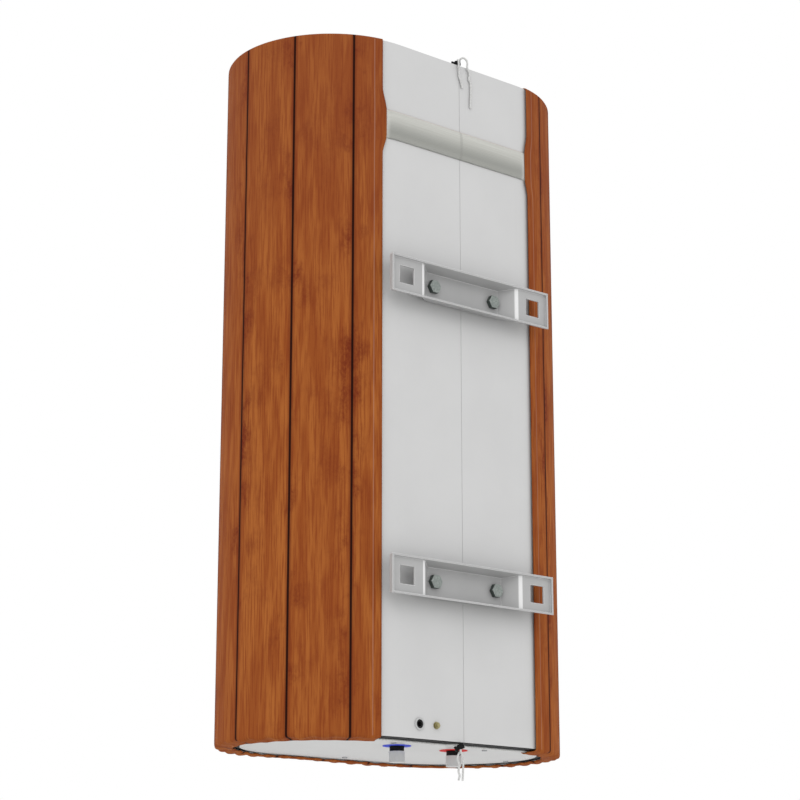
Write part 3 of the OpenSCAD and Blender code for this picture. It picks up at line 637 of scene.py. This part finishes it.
def bracket_zinc():
    """Pressed and zinc-plated, with painted highlights that make the edges and the tight bends brighter than
    the flats, and painted shade where parts close it in.
    """
    m = coated("bracket_zinc", srgb(178, 178, 178), srgb(171, 171, 171), 0.4, bump=0.00001)
    rounded = m.node("ShaderNodeBevel", samples=6)
    rounded.inputs["Radius"].default_value = 0.002
    straight = m.node("ShaderNodeNewGeometry")
    turn = m.node("ShaderNodeVectorMath", operation="DOT_PRODUCT")
    m.put(turn.inputs[0], rounded.outputs[0])
    m.put(turn.inputs[1], straight.outputs["True Normal"])
    base = m.shader.inputs["Base Color"].links[0].from_socket
    # painted highlights: bright rims along the edges and bright bands on the bends, standing in for the glint
    # of a light
    edge = m.remap(turn.outputs["Value"], 0.86, 0.995, 1.0, 0.0)
    across = m.math("ABSOLUTE", m.split(straight.outputs["True Normal"])[0])
    bend_highlight = m.math("MULTIPLY", m.remap(across, 0.05, 0.2), m.remap(across, 0.5, 0.64, 1.0, 0.0))
    painted_highlight = m.math("MAXIMUM", m.math("MULTIPLY", edge, 0.8), bend_highlight)
    m.set(Base_Color=m.mix(painted_highlight, base, srgb(238, 238, 238)))
    m.put(m.shader.inputs["Normal"].links[0].from_node.inputs["Normal"], rounded.outputs[0])
    # painted shade where nearby parts close the bracket in
    m.paint_occlusion_shade(0.03, srgb(104, 104, 104), 0.2)
    return m.material


def metal(name, colour, second, roughness, grain=90.0):
    """Bare metal."""
    m = coated(name, colour, second, roughness, metallic=1.0, grain=grain, bump=0.00005, spread=0.2)
    return m.material


def plastic(name, colour, second, roughness, bump=0.00006):
    """Moulded plastic."""
    return coated(name, colour, second, roughness, bump=bump).material


def matt_plastic(name, colour, second):
    """Moulded plastic with little shine."""
    m = coated(name, colour, second, 0.6, bump=0.00006)
    m.shader.inputs["Specular IOR Level"].default_value = 0.15
    return m.material


def bolt_steel():
    """Dull zinc plate with a green-grey cast and lighter scuffs; painted shade darkens the hex sides, so only
    the head's face shows the scuffed plate.
    """
    m = coated("bolt_steel", srgb(136, 143, 139), srgb(122, 130, 126), 0.45, metallic=0.35, spread=0.25)
    scuff = m.noise(m.place(), 520, 4, 0.7)
    base = m.shader.inputs["Base Color"].links[0].from_socket
    worn = m.mix(m.remap(scuff, 0.46, 0.64, 0.0, 0.6), base, srgb(176, 182, 178))
    # painted shade: the hex sides get a dark copy of the zinc, the head's face keeps the scuffed zinc
    hex_side_shade_mask = m.math("ABSOLUTE", m.split(m.node("ShaderNodeNewGeometry").outputs["True Normal"])[1])
    m.set(Base_Color=m.mix(m.remap(hex_side_shade_mask, 0.05, 0.4), srgb(74, 82, 78), worn))
    return m.material


def tank_enamel():
    """Glassy blue-black enamel with a pebbled skin."""
    m = coated("tank_enamel", srgb(44, 62, 92), srgb(28, 40, 64), 0.22, grain=30, bump=0.0002, coat=0.4)
    return m.material


def foam():
    """Blown foam: pale cells and a slow change of tone."""
    m = Surface("foam")
    cells = m.node("ShaderNodeTexVoronoi")
    m.put(cells.inputs["Vector"], m.place())
    cells.inputs["Scale"].default_value = 420
    cloud = m.noise(m.place(), 14, 4, 0.6)
    colour = m.mix(m.remap(cloud, 0.3, 0.7), srgb(232, 218, 168), srgb(214, 192, 130))
    m.set(Base_Color=colour, Roughness=0.95)
    m.bump(cells.outputs["Distance"], 0.0006, 0.8)
    return m.material


def smoked_window():
    """Dark glossy window, with nothing shown behind it."""
    m = coated("smoked_window", srgb(16, 18, 20), srgb(10, 12, 14), 0.08, spread=0.04, bump=0.00001, coat=1.0)
    return m.material


def board_green():
    """Solder mask with copper tracks just showing through it."""
    m = Surface("board_green")
    tracks = m.node("ShaderNodeTexBrick", offset=0.5)
    m.put(tracks.inputs["Vector"], m.place())
    tracks.inputs["Scale"].default_value = 180
    tracks.inputs["Color1"].default_value = srgb(18, 92, 48)
    tracks.inputs["Color2"].default_value = srgb(12, 78, 40)
    tracks.inputs["Mortar"].default_value = srgb(60, 138, 74)
    tracks.inputs["Mortar Size"].default_value = 0.04
    m.set(Base_Color=tracks.outputs["Color"], Roughness=0.35)
    m.bump(tracks.outputs["Fac"], 0.00005, 0.5)
    return m.material


def make_materials():
    """One material for each of the record's slots."""
    return {
        "casing_enamel": casing_enamel(),
        "bracket_zinc": bracket_zinc(),
        "bolt_steel": bolt_steel(),
        "tank_enamel": tank_enamel(),
        "foam": foam(),
        "smoked_window": smoked_window(),
        "board_green": board_green(),
        "plank_textile": plank_textile(),
        "strap_elastic": strap_elastic(),
        "string_braid": string_braid(),
        "rail_steel": metal("rail_steel", srgb(96, 98, 100), srgb(72, 74, 76), 0.5),
        "bright_steel": metal("bright_steel", srgb(196, 198, 200), srgb(170, 172, 174), 0.34),
        "copper": metal("copper", srgb(202, 126, 86), srgb(168, 92, 60), 0.36),
        "brass": metal("brass", srgb(182, 174, 132), srgb(160, 152, 112), 0.45),
        "magnesium": metal("magnesium", srgb(176, 176, 170), srgb(150, 150, 146), 0.62, grain=40),
        "black_plastic": matt_plastic("black_plastic", srgb(24, 24, 25), srgb(17, 17, 18)),
        "sleeve_grey": plastic("sleeve_grey", srgb(203, 204, 204), srgb(194, 195, 195), 0.4),
        "white_plastic": plastic("white_plastic", srgb(207, 207, 207), srgb(202, 202, 202), 0.4),
        "grey_plastic": plastic("grey_plastic", srgb(192, 193, 193), srgb(184, 185, 185), 0.5),
        "ivory_plastic": plastic("ivory_plastic", srgb(226, 218, 196), srgb(212, 202, 176), 0.5),
        "blue_plastic": matt_plastic("blue_plastic", srgb(58, 80, 226), srgb(50, 70, 212)),
        "red_plastic": matt_plastic("red_plastic", srgb(228, 22, 24), srgb(214, 16, 18)),
        "seal_rubber": plastic("seal_rubber", srgb(18, 18, 18), srgb(12, 12, 12), 0.75, bump=0.0001),
        "lead_insulation": plastic("lead_insulation", srgb(136, 84, 44), srgb(116, 70, 36), 0.55),
    }


def finish_cad_nodes(materials):
    """Give every CAD node the material of its slot."""
    for name, node in NODES.items():
        node.data.materials.clear()
        node.data.materials.append(materials[SLOT_OF[name]])


# ------------------------------------------------------------------ room

FLOOR_DROP = 1.3


def area_light(name, place, aim, size, power):
    data = bpy.data.lights.new(name, "AREA")
    data.size = size
    data.energy = power
    light = bpy.data.objects.new(name, data)
    bpy.context.scene.collection.objects.link(light)
    light.location = place
    light.rotation_euler = (Vector(aim) - light.location).to_track_quat("-Z", "Y").to_euler()


FLOOR_HALF = 9


def make_room():
    """A pale floor well below the heater, white surroundings and one soft light from behind."""
    corners = [(x * FLOOR_HALF, y * FLOOR_HALF, 0) for x, y in ((-1, -1), (1, -1), (1, 1), (-1, 1))]
    floor = mesh_object("floor", corners, [(0, 1, 2, 3)])
    floor.location.z = UNDERSIDE_Z - FLOOR_DROP
    pale = coated("floor_pale", srgb(236, 236, 235), srgb(232, 232, 231), 0.8)
    floor.data.materials.append(pale.material)
    world = bpy.data.worlds.new("studio")
    world.use_nodes = True
    world.node_tree.nodes["Background"].inputs["Color"].default_value = (1, 1, 1, 1)
    world.node_tree.nodes["Background"].inputs["Strength"].default_value = 1.0
    bpy.context.scene.world = world
    bpy.context.scene.view_settings.view_transform = "Standard"
    area_light("key", (2.6, 2.4, 1.6), (0, -0.1, -0.1), 1.4, 14)


make_camera()
materials = make_materials()
make_tails(materials["string_braid"])
make_drawstrings(materials["string_braid"])
finish_cad_nodes(materials)
make_cover(materials["plank_textile"])
make_strap(materials["strap_elastic"])
make_knob_pointer(materials["black_plastic"])
make_room()
